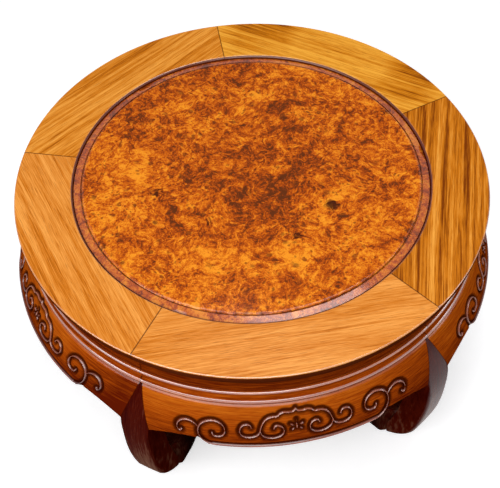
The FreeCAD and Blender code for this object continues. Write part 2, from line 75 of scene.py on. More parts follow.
def sector_azimuth(index):
    """Middle of a rim board, waist strip or apron; number 1 faces the front."""
    return FRONT + SECTOR_TURN * (index - 1)


def leg_azimuth(index):
    """Middle of a leg; number 1 stands at the left end of the front apron."""
    return FRONT + SECTOR_TURN * (index - 1.5)


# %% [markdown]
# The camera stands where the photographer stood: above and in front, a little to the left. It aims
# near the middle of the top, with a small pan, tilt and roll, and the lens gives the same perspective.

# %% Camera
CAMERA_DISTANCE = 1.8693
CAMERA_AZIMUTH = math.radians(-98.35)
CAMERA_ELEVATION = math.radians(47.264)
CAMERA_PAN, CAMERA_TILT, CAMERA_ROLL = (math.radians(angle) for angle in (0.181, -4.1, 1.668))
CAMERA_SENSOR = 36.0
CAMERA_FOCAL_WIDTHS = 1.95217

outward = Vector((math.cos(CAMERA_ELEVATION) * math.cos(CAMERA_AZIMUTH),
                  math.cos(CAMERA_ELEVATION) * math.sin(CAMERA_AZIMUTH),
                  math.sin(CAMERA_ELEVATION)))
forward = -outward
right = Vector((-math.sin(CAMERA_AZIMUTH), math.cos(CAMERA_AZIMUTH), 0))
up = right.cross(forward)
pan = Matrix.Rotation(CAMERA_PAN, 3, up)
forward, right = pan @ forward, pan @ right
tilt = Matrix.Rotation(CAMERA_TILT, 3, right)
forward, up = tilt @ forward, tilt @ up
roll = Matrix.Rotation(CAMERA_ROLL, 3, forward)
right, up = roll @ right, roll @ up

lens = bpy.data.cameras.new("camera")
lens.sensor_width = CAMERA_SENSOR
lens.lens = CAMERA_SENSOR * CAMERA_FOCAL_WIDTHS
camera = bpy.data.objects.new("camera", lens)
scene.collection.objects.link(camera)
turn = Matrix((right, up, -forward)).transposed().to_4x4()
place = Vector((0, 0, TABLE_HEIGHT)) + outward * CAMERA_DISTANCE
camera.matrix_world = Matrix.Translation(place) @ turn
scene.camera = camera
print("camera at", [round(value, 3) for value in place], "lens", round(lens.lens, 2))


# %% [markdown]
# Looks and carving are both made of nodes, and nodes joined one by one are hard to read. A wire is a
# socket that takes part in Python expressions, so the maths of a grain reads as maths. Every other node
# comes from one method, with its settings set first and its inputs after them.

# %% Wires and node trees
class Wire:
    """A node socket that can stand in a Python expression."""

    def __init__(self, nodes, socket):
        self.nodes = nodes
        self.socket = socket

    def math(self, operation, first, second=0.0):
        return self.nodes.add("ShaderNodeMath", {"operation": operation}, {0: first, 1: second})

    def __add__(self, other):
        return self.math("ADD", self, other)

    def __radd__(self, other):
        return self.math("ADD", other, self)

    def __sub__(self, other):
        return self.math("SUBTRACT", self, other)

    def __rsub__(self, other):
        return self.math("SUBTRACT", other, self)

    def __mul__(self, other):
        return self.math("MULTIPLY", self, other)

    def __rmul__(self, other):
        return self.math("MULTIPLY", other, self)

    def __truediv__(self, other):
        return self.math("DIVIDE", self, other)

    def __pow__(self, other):
        return self.math("POWER", self, other)

    def root(self):
        return self.math("SQRT", self.math("MAXIMUM", self, 0.0))


class Nodes:
    """A node tree, with one method that adds any node to it."""

    def __init__(self, tree):
        self.tree = tree

    def add(self, kind, settings=None, inputs=None, out=0):
        node = self.tree.nodes.new(kind)
        for name, value in (settings or {}).items():
            if name == "stops":
                self.set_stops(node.color_ramp, value)
            else:
                setattr(node, name, value)
        for key, value in (inputs or {}).items():
            self.join(value, node.inputs[key])
        return Wire(self, node.outputs[out])

    def set_stops(self, ramp, stops):
        while len(ramp.elements) < len(stops):
            ramp.elements.new(1.0)
        for element, (place, colour) in zip(ramp.elements, stops):
            element.position = place
            element.color = (*colour, 1.0)

    def join(self, value, socket):
        if isinstance(value, Wire):
            self.tree.links.new(value.socket, socket)
        else:
            socket.default_value = value

    def axes(self, vector):
        """The three numbers of a vector."""
        split = self.add("ShaderNodeSeparateXYZ", None, {0: vector}).socket.node
        return [Wire(self, output) for output in split.outputs]

    def band(self, value, low, high, start=0.0, end=1.0):
        """A smooth step from start to end while the value goes from low to high."""
        return self.add("ShaderNodeMapRange", {"interpolation_type": "SMOOTHSTEP"},
                        {0: value, 1: low, 2: high, 3: start, 4: end})

    def seen_directly(self):
        """1 for what the camera sees, straight, mirrored or through glass, and 0 for light that bounces."""
        rays = [self.add("ShaderNodeLightPath", None, None, kind)
                for kind in ("Is Camera Ray", "Is Glossy Ray", "Is Transmission Ray")]
        return rays[0] + rays[1] + rays[2]


# %% [markdown]
# A finish is a material round one Principled shader. Noise, cell patterns, colour ramps and mixes are
# the few words that every wood on this table is written in, so each has a short method here.

# %% Finishes
class Finish(Nodes):
    """A material round one Principled shader."""

    def __init__(self, name):
        self.material = bpy.data.materials.new(name)
        self.material.use_nodes = True
        super().__init__(self.material.node_tree)
        self.shader = self.tree.nodes["Principled BSDF"]

    def shade(self, **inputs):
        """Values or wires for the Principled shader; underscores stand for spaces."""
        for name, value in inputs.items():
            self.join(value, self.shader.inputs[name.replace("_", " ")])

    def place(self):
        """The point in the object's own metres."""
        return self.add("ShaderNodeTexCoord", None, None, "Object")

    def measure(self, label):
        """Three numbers that a piece stores at each vertex."""
        return self.add("ShaderNodeAttribute", {"attribute_name": label}, None, "Vector")

    def noise(self, vector, scale, detail=2.0, roughness=0.5, distortion=0.0, out=0):
        return self.add("ShaderNodeTexNoise", {"noise_dimensions": "3D"},
                        {"Vector": vector, "Scale": scale, "Detail": detail,
                         "Roughness": roughness, "Distortion": distortion}, out)

    def stretched(self, vector, scale):
        return self.add("ShaderNodeVectorMath", {"operation": "MULTIPLY"}, {0: vector, 1: scale})

    def shifted(self, vector, offset):
        return self.add("ShaderNodeVectorMath", {"operation": "ADD"}, {0: vector, 1: offset})

    def swirl(self, vector, scale, reach):
        """The vector pushed about by a noise, as growth pushes the fibres of a burl about."""
        push = self.shifted(self.noise(vector, scale, out="Color"), (-0.5, -0.5, -0.5))
        return self.shifted(vector, self.stretched(push, (reach, reach, reach)))

    def cells(self, vector, scale):
        """Distance to the nearest seed of a cell pattern, and a number from 0 to 1 for its cell."""
        pattern = self.add("ShaderNodeTexVoronoi", {"feature": "F1"}, {"Vector": vector, "Scale": scale})
        colour = Wire(self, pattern.socket.node.outputs["Color"])
        return pattern, self.axes(colour)[0]

    def ramp(self, value, stops):
        return self.add("ShaderNodeValToRGB", {"stops": stops}, {0: value})

    def mix(self, factor, first, second, blend="MIX"):
        """Two colours mixed; 6 and 7 are the colour inputs of a Mix node and 2 is its colour output."""
        return self.add("ShaderNodeMix", {"data_type": "RGBA", "blend_type": blend},
                        {0: factor, 6: first, 7: second}, 2)

    def bump(self, height, strength, distance):
        return self.add("ShaderNodeBump", None,
                        {"Strength": strength, "Distance": distance, "Height": height})

    def hollows(self, reach):
        """About 1 in the open and less in narrow hollows, where less light reaches; it places painted shade
        there, with the stain and old polish that gather in them.
        """
        return self.add("ShaderNodeAmbientOcclusion", {"samples": 6}, {"Distance": reach}, "AO")


# %% [markdown]
# The rim, the frame and the legs are one family of hardwood. Its figure has three scales: broad bands
# of light and dark growth, stripes or long lines along the grain, and pores that show as short dark
# dashes. The pattern runs along each piece's own grain, which every mesh carries as an attribute,
# together with how light and how striped that board is and how near a point is to a joint, where dirt
# draws a thin line. A stretched noise does all of it, so no picture of wood is needed.

# %% Plain wood
# How much a noise is squeezed along, across and through the grain.
BROAD_STRETCH, STRIPE_STRETCH, LINE_STRETCH = (2.4, 38.0, 36.0), (8.0, 260.0, 190.0), (1.6, 140.0, 110.0)
FINE_STRETCH, PORE_STRETCH = (26.0, 820.0, 600.0), (34.0, 1000.0, 1000.0)
WAVE_SCALE, WAVE_REACH = 2.2, 0.016
LINED_FROM, LINED_FULLY, LINED_LOSS = 1.1, 1.6, 0.5
STREAK_WEIGHT, FINE_WEIGHT = 1.2, 0.9
TONE_STOPS = (0.1, 0.45, 0.9)
PORE_START, PORE_FULL, PORE_DARKNESS, PORE_BUMP, PORE_DEPTH = 0.6, 0.74, 0.5, 0.2, 0.0003
GOLDEN = (1.0, 1.2, 0.35, 1.0)
# Painted shade in narrow hollows: how far the test for hollows reaches, and where that shade is full and
# where it ends.
HOLLOW_REACH, GRIME_SHADE_FULL, GRIME_SHADE_END = 0.006, 0.25, 0.95
JOINT_LINE_FULL, JOINT_LINE_END = 0.0005, 0.0015
# Strengths of the painted shade with grime in hollows, of the joint dirt, and of the painted shade with dirt
# in carved ground.
WOOD_GRIME_AND_SHADE, JOINT_DIRT, CARVED_DIRT_AND_SHADE, SHADOW_SHARE = 0.75, 0.8, 0.9, 0.3
RIDGE_POLISH = 0.55
RUB_SCALE, RUB_SPREAD = 40.0, 0.12


def wood_tone(finish, wavy, fine, shift, contrast):
    """From 0, dark, to 1, light: bands and stripes, or long lines where a board is strongly striped."""
    broad = finish.noise(finish.stretched(wavy, BROAD_STRETCH), 1.0, 3.0, 0.6, 0.4)
    stripe = finish.noise(finish.stretched(wavy, STRIPE_STRETCH), 1.0, 4.0, 0.7, 0.8)
    lines = finish.noise(finish.stretched(wavy, LINE_STRETCH), 1.0, 4.0, 0.72, 0.1)
    lined = finish.band(contrast, LINED_FROM, LINED_FULLY)
    streak = stripe + (lines - stripe) * lined
    figure = ((broad - 0.5) * (1.0 - lined * LINED_LOSS) + (streak - 0.5) * STREAK_WEIGHT) * contrast
    return figure + (fine - 0.5) * FINE_WEIGHT + shift + 0.5


def grime_and_shade(finish, strength):
    """Painted shade in narrow hollows, where less light reaches, with the old polish and dirt that gather
    there.
    """
    return finish.band(finish.hollows(HOLLOW_REACH), GRIME_SHADE_FULL, GRIME_SHADE_END, strength, 0.0)


def wood_dirt_and_shade(finish, left_gap, right_gap):
    """Where it darkens: painted shade with dirt in narrow hollows, and a thin dirt line along each joint."""
    nearest = left_gap.math("MINIMUM", left_gap, right_gap)
    dirt = finish.band(nearest, JOINT_LINE_FULL, JOINT_LINE_END, JOINT_DIRT, 0.0)
    return dirt.math("MAXIMUM", grime_and_shade(finish, WOOD_GRIME_AND_SHADE), dirt)


def wood(name, dark, middle, light, stain_shade_colour=None, stain_shade_mask=None, roughness=0.26, polish_index=1.5):
    """The mask function takes the finish and the grain and gives where dark stain and painted shade lie."""
    finish = Finish(name)
    grain = finish.measure("grain")
    shift, contrast, coat = finish.axes(finish.measure("board"))
    left_gap, right_gap, gold = finish.axes(finish.measure("ends"))
    hollow, ridge, _ = finish.axes(finish.measure("carved"))
    wavy = finish.swirl(grain, WAVE_SCALE, WAVE_REACH)
    fine = finish.noise(finish.stretched(wavy, FINE_STRETCH), 1.0, 2.0, 0.6)
    tone = wood_tone(finish, wavy, fine, shift, contrast)
    colour = finish.ramp(tone, list(zip(TONE_STOPS, (dark, middle, light))))
    colour = finish.mix(gold, colour, GOLDEN, "MULTIPLY")
    pores = finish.noise(finish.stretched(wavy, PORE_STRETCH), 1.0, 1.0)
    pores = finish.band(pores, PORE_START, PORE_FULL)
    colour = finish.mix(pores * PORE_DARKNESS, colour, (*dark, 1.0))
    # Dark stain with painted shade on the rim's edges, and painted shade inside the legs.
    if stain_shade_mask:
        colour = finish.mix(stain_shade_mask(finish, grain), colour, (*stain_shade_colour, 1.0))
    shadow = (*(SHADOW_SHARE * value for value in dark), 1.0)
    # Painted shade with dirt in narrow hollows, and the dirt line along each joint.
    colour = finish.mix(wood_dirt_and_shade(finish, left_gap, right_gap), colour, shadow)
    # Painted shade, with dirt, in the sunk ground round the carved lines.
    colour = finish.mix((1.0 - (1.0 - hollow) ** 2.0) * CARVED_DIRT_AND_SHADE, colour, shadow)
    polish = (coat + finish.band(ridge, 0.2, 0.8) * RIDGE_POLISH) * (1.0 - hollow)
    rubbed = (finish.noise(grain, RUB_SCALE, 3.0) - 0.5) * RUB_SPREAD
    finish.shade(Base_Color=colour, Roughness=rubbed + roughness, Specular_IOR_Level=0.0,
                 Normal=finish.bump(0.0 - pores - fine * 0.3, PORE_BUMP, PORE_DEPTH),
                 Coat_Weight=polish.math("MINIMUM", polish, 1.0), Coat_IOR=polish_index, Coat_Roughness=0.24)
    return finish.material


# %% [markdown]
# Four woods come from that one recipe: pale golden boards for the rim, a redder wood for waist, moulding
# and aprons, a nearly black red for the legs, and plain brown for the battens that nobody sees. Dark
# stain with painted shade lies on the edges of the rim, and painted shade on the inner sides of the legs,
# so two small functions say where that is.

# %% The four woods
RIM_INSIDE_END, RIM_OUTSIDE_START = 0.36, 0.38
# Heights where the dark stain with painted shade on the rim's outer edge and inner rounding is full and where
# it starts.
OUTER_STAIN_SHADE_FULL, OUTER_STAIN_SHADE_START = TABLE_HEIGHT - 0.0036, TABLE_HEIGHT - 0.0016
INNER_STAIN_SHADE_FULL, INNER_STAIN_SHADE_START = TABLE_HEIGHT - 0.0009, TABLE_HEIGHT - 0.0002
LEG_SAWN = 0.15
# Where the painted shade on a leg's inner side is full and where it ends.
LEG_INSIDE_SHADE_FULL, LEG_INSIDE_SHADE_END = 0.36 * LEG_SAWN, 0.43 * LEG_SAWN
# How fully the dark stain and painted shade cover.
STAIN_SHADE_COVER = 0.95


def rim_edge_stain_and_shade(finish, grain):
    """Dark stain with painted shade on the rim's outer edge below its arris, and on the whole of its inner
    rounding.
    """
    x, y, height = finish.axes(finish.place())
    inside = finish.band((x * x + y * y).root(), RIM_INSIDE_END, RIM_OUTSIDE_START, 1.0, 0.0)
    outer = finish.band(height, OUTER_STAIN_SHADE_FULL, OUTER_STAIN_SHADE_START, STAIN_SHADE_COVER, 0.0)
    inner = finish.band(height, INNER_STAIN_SHADE_FULL, INNER_STAIN_SHADE_START, STAIN_SHADE_COVER, 0.0)
    return outer + inside * (inner - outer)


def leg_inside_shade(finish, grain):
    """Painted shade on the inner side of a leg, which faces the dark under the table."""
    reach = finish.axes(grain)[2]
    return finish.band(reach, LEG_INSIDE_SHADE_FULL, LEG_INSIDE_SHADE_END, STAIN_SHADE_COVER, 0.0)


# Colours of the dark stain with painted shade on the rim's edges, and of the painted shade inside the legs.
EDGE_STAIN_AND_SHADE, LEG_INSIDE_SHADE = (0.085, 0.006, 0.002), (0.012, 0.003, 0.002)
RIM_TONES = (0.20, 0.036, 0.002), (0.62, 0.172, 0.009), (0.92, 0.37, 0.075)
FRAME_TONES = (0.13, 0.010, 0.001), (0.45, 0.074, 0.003), (0.76, 0.20, 0.012)
LEG_TONES = (0.042, 0.0010, 0.0004), (0.090, 0.007, 0.002), (0.27, 0.115, 0.065)
BATTEN_TONES = (0.07, 0.02, 0.008), (0.20, 0.07, 0.025), (0.30, 0.12, 0.045)

rim_wood = wood("rim_wood", *RIM_TONES, EDGE_STAIN_AND_SHADE, rim_edge_stain_and_shade, polish_index=2.4)
frame_wood = wood("frame_wood", *FRAME_TONES, polish_index=2.8)
# The legs get painted shade on their inner sides.
leg_wood = wood("leg_wood", *LEG_TONES, LEG_INSIDE_SHADE, leg_inside_shade, roughness=0.34)
batten_wood = wood("batten_wood", *BATTEN_TONES, roughness=0.6)
print("plain woods:", [item.name for item in (rim_wood, frame_wood, leg_wood, batten_wood)])


# %% [markdown]
# Burl is wood that grew round many buds: the fibres swirl, small dark eyes sit in clusters, and patches
# of orange and brown run into each other. The swirl comes from pushing the coordinates twice, the eyes
# and the few large knots from cell patterns, and the patches from slow noise.

# %% Burl
BURL_KNOT, BURL_DARK = (0.045, 0.009, 0.003), (0.125, 0.028, 0.006)
BURL_MIDDLE, BURL_LIGHT, BURL_PALE = (0.40, 0.062, 0.004), (0.67, 0.145, 0.007), (0.92, 0.31, 0.018)
BURL_STOPS = [(0.1, BURL_DARK), (0.38, BURL_MIDDLE), (0.62, BURL_LIGHT), (0.95, BURL_PALE)]
BORDER_RED = (0.30, 0.045, 0.012)
BORDER_RADIUS = 0.3245
# Scale and reach of the two pushes, and where in the log the panel was cut.
LOOSE_SWIRL, TIGHT_SWIRL = (11.0, 0.05), (46.0, 0.012)
BURL_CUT = (0.69, 0.17, 0.0)
CURL_SCALE, SPECKLE_SCALE, FLAME_SCALE, PATCH_SCALE = 80.0, 430.0, 27.0, 8.0
CURL_WEIGHT, SPECKLE_WEIGHT, FLAME_WEIGHT, PATCH_WEIGHT = 1.6, 0.9, 1.6, 1.05
RING_SCALE, RING_COUNT, RING_WEIGHT = 30.0, 60.0, 0.08
HEART_RADIUS, HEART_END, HEART_TONE, OUTER_TONE = 0.06, 0.24, -0.12, 0.02
BURL_LEVEL = 0.53
# Two sizes of eye, each with the share of cells that stay without one.
EYE_SCALES = ((58.0, 0.6), (125.0, 0.5))
EYE_DARKNESS, EYE_RAGGED, CLUSTER_SHARE = 0.7, 0.35, 0.11
KNOT_SCALE, KNOT_DARKNESS, KNOT_RAGGED = 12.0, 0.9, 0.5
# Strength of the painted shade, with grime, in the burl's narrow hollows.
BURL_GRIME_AND_SHADE = 0.8
BORDER_BLUR, BORDER_POLISH, FIELD_POLISH = 0.001, 0.6, 0.1
ARRIS_START, ARRIS_FULL, ARRIS_POLISH = BORDER_RADIUS - 0.0056, BORDER_RADIUS - 0.004, 0.7


def burl_tone(finish, place, loose, tight, curl, radius):
    """From 0, dark, to 1, pale: curls, flames and slow patches, with a darker heart."""
    speckle = finish.noise(place, SPECKLE_SCALE, 2.0, 0.6)
    flame = finish.noise(loose, FLAME_SCALE, 4.0, 0.62, 0.9)
    patch = finish.noise(finish.shifted(loose, BURL_CUT), PATCH_SCALE, 3.0, 0.6, 0.6)
    heart = finish.band(radius, HEART_RADIUS, HEART_END, HEART_TONE, OUTER_TONE)
    rings = finish.noise(tight, RING_SCALE, 2.0) * RING_COUNT
    tone = (curl - 0.5) * CURL_WEIGHT + (speckle - 0.5) * SPECKLE_WEIGHT
    tone = tone + (flame - 0.5) * FLAME_WEIGHT + (patch - 0.5) * PATCH_WEIGHT + heart + BURL_LEVEL
    return tone + rings.math("SINE", rings) * RING_WEIGHT


def with_eyes(finish, colour, loose, curl):
    """The colour with small dark eyes in clusters and a few large knots."""
    for scale, share in EYE_SCALES:
        distance, pick = finish.cells(loose, scale)
        crowd = finish.band(finish.noise(loose, CLUSTER_SHARE * scale, 2.0), 0.38, 0.55)
        crowd = crowd * finish.band(pick, share, share + 0.1)
        distance = distance + (curl - 0.5) * EYE_RAGGED
        eye = finish.band(distance, 0.42, 0.18) * finish.band(distance, 0.02, 0.16, 0.45, 1.0)
        colour = finish.mix(eye * crowd * EYE_DARKNESS, colour, (*BURL_DARK, 1.0))
    distance, pick = finish.cells(loose, KNOT_SCALE)
    distance = distance + (curl - 0.5) * KNOT_RAGGED
    knot = finish.band(distance, 0.17, 0.07) * finish.band(pick, 0.35, 0.5)
    return finish.mix(knot * KNOT_DARKNESS, colour, (*BURL_KNOT, 1.0))


def burl_finish(name):
    """Burl for the raised field, redder and more polished on the lowered border round it."""
    finish = Finish(name)
    place = finish.place()
    x, y, _ = finish.axes(place)
    radius = (x * x + y * y).root()
    loose = finish.swirl(place, *LOOSE_SWIRL)
    tight = finish.swirl(loose, *TIGHT_SWIRL)
    curl = finish.noise(tight, CURL_SCALE, 4.0, 0.6, 1.1)
    colour = finish.ramp(burl_tone(finish, place, loose, tight, curl, radius), BURL_STOPS)
    colour = with_eyes(finish, colour, loose, curl)
    border = finish.band(radius, BORDER_RADIUS - BORDER_BLUR, BORDER_RADIUS + BORDER_BLUR, 0.0, BORDER_POLISH)
    colour = finish.mix(border * 0.5, colour, (*BORDER_RED, 1.0))
    # Painted shade, with grime, in narrow hollows such as the groove round the field.
    colour = finish.mix(grime_and_shade(finish, BURL_GRIME_AND_SHADE), colour, (*BURL_KNOT, 1.0))
    arris = finish.band(radius, ARRIS_START, ARRIS_FULL, 0.0, ARRIS_POLISH) * (1.0 - border)
    finish.shade(Base_Color=colour, Roughness=curl * 0.14 + 0.2, Specular_IOR_Level=0.0,
                 Coat_Weight=border + arris + FIELD_POLISH, Coat_Roughness=0.12,
                 Normal=finish.bump(curl, 0.1, 0.0004))
    return finish.material


burl = burl_finish("burl")
print("burl:", burl.name, len(burl.node_tree.nodes), "nodes")


# %% [markdown]
# Each solid of the frame is loose triangles. A copy is merged and its flat runs joined, its arrises are
# eased by a small bevel, as sandpaper eases them, and it is shaded smooth between the sharp edges. The
# normals are weighted by area, so that a large flat stays flat right up to the rounding beside it.

# %% Eased copies
MERGE_DISTANCE = 4e-6
FLAT_ANGLE = math.radians(0.3)
ARRIS_ANGLE = math.radians(40)
SMOOTH_ANGLE = math.radians(32)


def shade_smooth(mesh, angle):
    """Smooth shading, with edges steeper than the angle kept sharp."""
    for polygon in mesh.polygons:
        polygon.use_smooth = True
    mesh.set_sharp_from_angle(angle=angle)


def settled(blank):
    """The mesh of an object after its modifiers; the object itself is taken away."""
    graph = bpy.context.evaluated_depsgraph_get()
    result = bpy.data.meshes.new_from_object(blank.evaluated_get(graph))
    bpy.data.objects.remove(blank)
    return result


def with_flat_faces(mesh, name):
    """The same mesh with each normal weighted by area."""
    blank = bpy.data.objects.new(name, mesh)
    scene.collection.objects.link(blank)
    weigh = blank.modifiers.new("weigh", "WEIGHTED_NORMAL")
    weigh.weight = 100
    weigh.keep_sharp = True
    result = settled(blank)
    bpy.data.meshes.remove(mesh)
    result.name = name
    return result


def eased_copy(node, name, ease, reshape=None):
    """A copy of a node's solid with its arrises eased; reshape may move its vertices first."""
    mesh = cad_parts[node].data.copy()
    mesh.name = name
    work = bmesh.new()
    work.from_mesh(mesh)
    bmesh.ops.remove_doubles(work, verts=work.verts, dist=MERGE_DISTANCE)
    bmesh.ops.dissolve_limit(work, angle_limit=FLAT_ANGLE, verts=work.verts, edges=work.edges)
    if reshape:
        for vertex in work.verts:
            vertex.co = reshape(*vertex.co)
    work.normal_update()
    arrises = [edge for edge in work.edges
               if edge.is_manifold and edge.calc_face_angle(0.0) > ARRIS_ANGLE
               and edge.calc_length() > 3 * ease]
    if ease:
        bmesh.ops.bevel(work, geom=arrises, offset=ease, segments=2, profile=0.5, affect="EDGES",
                        clamp_overlap=True)
    bmesh.ops.triangulate(work, faces=[face for face in work.faces if len(face.verts) > 4])
    work.to_mesh(mesh)
    work.free()
    shade_smooth(mesh, SMOOTH_ANGLE)
    return with_flat_faces(mesh, name)


solid_faces = sum(len(solid.data.polygons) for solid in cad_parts.values())
print("solids:", len(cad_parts), "with", solid_faces, "triangles")


# %% [markdown]
# A finish is shared, but no two boards are alike. So each mesh carries numbers at its vertices that the
# finish reads: grain holds metres along, across and through the grain, board holds tone, stripes and
# polish, and ends holds the distances to the joints at its two ends and how golden the wood is.

# %% Numbers at the vertices
def store(mesh, label, measure):
    """Stores three numbers at each vertex, worked out from its place, for the finish to read."""
    places = np.empty(len(mesh.vertices) * 3, dtype=np.float32)
    mesh.vertices.foreach_get("co", places)
    x, y, z = places.reshape(-1, 3).T
    columns = [np.broadcast_to(column, x.shape) for column in measure(x, y, z)]
    layer = mesh.attributes.new(label, "FLOAT_VECTOR", "POINT")
    layer.data.foreach_set("vector", np.stack(columns, axis=1).astype(np.float32).ravel())


def joint_gaps(azimuth, gold):
    """Distances to the upright joint planes at the two ends of a sector, and how golden its wood is."""
    ends = (azimuth - SECTOR_TURN / 2, azimuth + SECTOR_TURN / 2)

    def measure(x, y, z):
        near, far = (np.abs(y * math.cos(end) - x * math.sin(end)) for end in ends)
        return near, far, gold
    return measure


def no_joints(x, y, z):
    """Far from any joint, and not golden."""
    return 1.0, 1.0, 0.0


def straight_grain(azimuth, shift):
    """Grain along the chord of a sector, as in a board sawn straight."""
    east, north = math.cos(azimuth), math.sin(azimuth)
    return lambda x, y, z: (y * east - x * north + shift, x * east + y * north + shift, z)


def bent_grain(azimuth, shift):
    """Grain along the arc of a sector, as in a strip cut to the round."""
    def measure(x, y, z):
        around = np.arctan2(y, x) - azimuth
        around = (around + np.pi) % (2 * np.pi) - np.pi
        radius = np.hypot(x, y)
        return around * radius + shift, z, radius
    return measure


def value_at(item, x, y, z):
    """A number as it is, or what a function gives for a place."""
    return item(x, y, z) if callable(item) else item


def store_look(mesh, tone, stripes, polish, round_polish):
    """Stores how light, how striped and how polished a piece is; cloth rubs most on roundings that lean up.

    The tone and both polishes are numbers, or functions that give them from a place."""
    normals = np.empty(len(mesh.vertices) * 3, dtype=np.float32)
    mesh.vertex_normals.foreach_get("vector", normals)
    lean = normals.reshape(-1, 3)[:, 2]
    rounding = np.clip((lean - 0.4) / 0.15, 0, 1) * np.clip((0.995 - lean) / 0.04, 0, 1)
    upward = np.clip(lean / 0.35, 0, 1)

    def measure(x, y, z):
        flat = value_at(polish, x, y, z) * upward * (1 - rounding)
        return value_at(tone, x, y, z), stripes, flat + value_at(round_polish, x, y, z) * rounding
    store(mesh, "board", measure)


# %% [markdown]
# The rim is five boards sawn straight and mitred, each from another plank, so each has its own tone and
# stripes, and one is golden with a brown band. Waist and moulding are strips cut to the round. Hands and
# cloth have polished the rim's outer rounding and the moulding's two beads, and those catch the light.

# %% Rim, waist and moulding
RIM_EASE, STRIP_EASE = 0.0007, 0.0006
RIM_MIDDLE_RADIUS, INNER_RIM_POLISH = 0.4, 0.3
COVE_LOW, COVE_HIGH = 0.3825, 0.3985
BAND_START, BAND_END, BAND_BLUR = 0.384, 0.432, 0.006
GOLDEN_BOARD, GOLDEN_TONE, BAND_DARKNESS = 3, 0.22, 0.45
PLANK_STEP = 1.7


def rim_polish(x, y, z):
    """Hands and cloth wear the rim's outer rounding; the inner one, darkened with stain and painted shade, is
    polished less.
    """
    return np.where(np.hypot(x, y) > RIM_MIDDLE_RADIUS, 1.0, INNER_RIM_POLISH)


def bead_polish(x, y, z):
    """Cloth reaches the two beads of the moulding, not the cove between them."""
    return 1.0 - ((z > COVE_LOW) & (z < COVE_HIGH))


def banded_tone(x, y, z):
    """The golden board has a brown band, straight along the grain, in its outer half."""
    azimuth = sector_azimuth(GOLDEN_BOARD)
    across = x * math.cos(azimuth) + y * math.sin(azimuth)
    start = np.clip((across - BAND_START) / BAND_BLUR, 0, 1)
    return GOLDEN_TONE - BAND_DARKNESS * start * np.clip((BAND_END - across) / BAND_BLUR, 0, 1)


def add_piece(mesh, material, slot, node):
    """Puts a finished mesh in the place of a node's solid."""
    mesh.materials.clear()
    mesh.materials.append(material)
    piece = bpy.data.objects.new(mesh.name, mesh)
    scene.collection.objects.link(piece)
    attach(piece, "root")
    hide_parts(node)


# Each piece's look: how much lighter or darker it is, how striped, the polish on flats and on roundings,
# and how golden its wood is.
# The first board's paler tone is partly its own wood and partly a painted sheen.
RIM_LOOKS = ((0.19, 0.9, 0.03, rim_polish, 0.0), (-0.13, 1.7, 0.02, rim_polish, 0.3),
             (banded_tone, 1.5, 0.02, rim_polish, 0.6), (0.08, 1.5, 0.02, rim_polish, 0.25),
             (0.12, 1.4, 0.03, rim_polish, 0.05))
# The waist's darker tone is partly its own wood and partly painted shade under the rim's overhang.
WAIST_LOOKS = ((-0.29, 0.6, 0.0, 0.0, 0.0),) * SECTORS
MOULDING_LOOKS = ((-0.08, 0.8, bead_polish, bead_polish, 0.0),) * SECTORS
RING_PIECES = (
    ("rim_segment", "rim_board", rim_wood, "rim_wood", RIM_EASE, straight_grain, RIM_LOOKS),
    ("waist", "waist_strip", frame_wood, "frame_wood", STRIP_EASE, bent_grain, WAIST_LOOKS),
    ("waist_moulding", "bead_moulding", frame_wood, "frame_wood", STRIP_EASE, bent_grain, MOULDING_LOOKS),
)
for node, name, material, slot, ease, grain, looks in RING_PIECES:
    for index in range(1, SECTORS + 1):
        *look, gold = looks[index - 1]
        mesh = eased_copy(f"{node}_{index}", f"{name}_{index}", ease)
        store(mesh, "grain", grain(sector_azimuth(index), PLANK_STEP * index))
        store(mesh, "ends", joint_gaps(sector_azimuth(index), gold))
        store_look(mesh, *look)
        add_piece(mesh, material, slot, f"{node}_{index}")
    print(name, len(mesh.polygons), "faces each")


# %% [markdown]
# A drum leg bulges with the aprons and turns in at the foot in a scroll. Its face is a lighter brown near
# the floor and is rubbed, and painted shade darkens its flanks and the inside of the foot. The solid's
# scroll is a little thin and short beside the photo's, so its vertices are moved sideways and inwards here.

# %% Legs
LEG_EASE = 0.0015
LEG_POLISH = (0.03, 0.5, 0.3, 0.2, 0.2)
FLANK_START, FLANK_RUN = 0.024, 0.004
INSIDE_START, INSIDE_RUN = 0.425, 0.01
FADE_HEIGHT, FADE_RUN = 0.06, 0.22
FACE_TONE, FACE_FALL, FACE_STRIPES = 0.42, 0.67, 0.6
# Tone, its fall with height, and stripes of a leg's flanks and inside, darkened as painted shade.
SHADED_SIDE_TONE, SHADED_SIDE_FALL, SHADED_SIDE_STRIPES = -0.02, 0.23, 0.3
SCROLL_TOP, SCROLL_CENTRE, SCROLL_RADIUS = 0.16, 0.372, 0.046
WIDENING_START, WIDENING_RUN, SCROLL_WIDENING = 0.405, 0.012, 0.42
SCROLL_GROWTH = 0.014


def upright_grain(azimuth, shift):
    """Grain up a leg."""
    east, north = math.cos(azimuth), math.sin(azimuth)
    return lambda x, y, z: (z + shift, y * east - x * north, LEG_SAWN * (x * east + y * north))


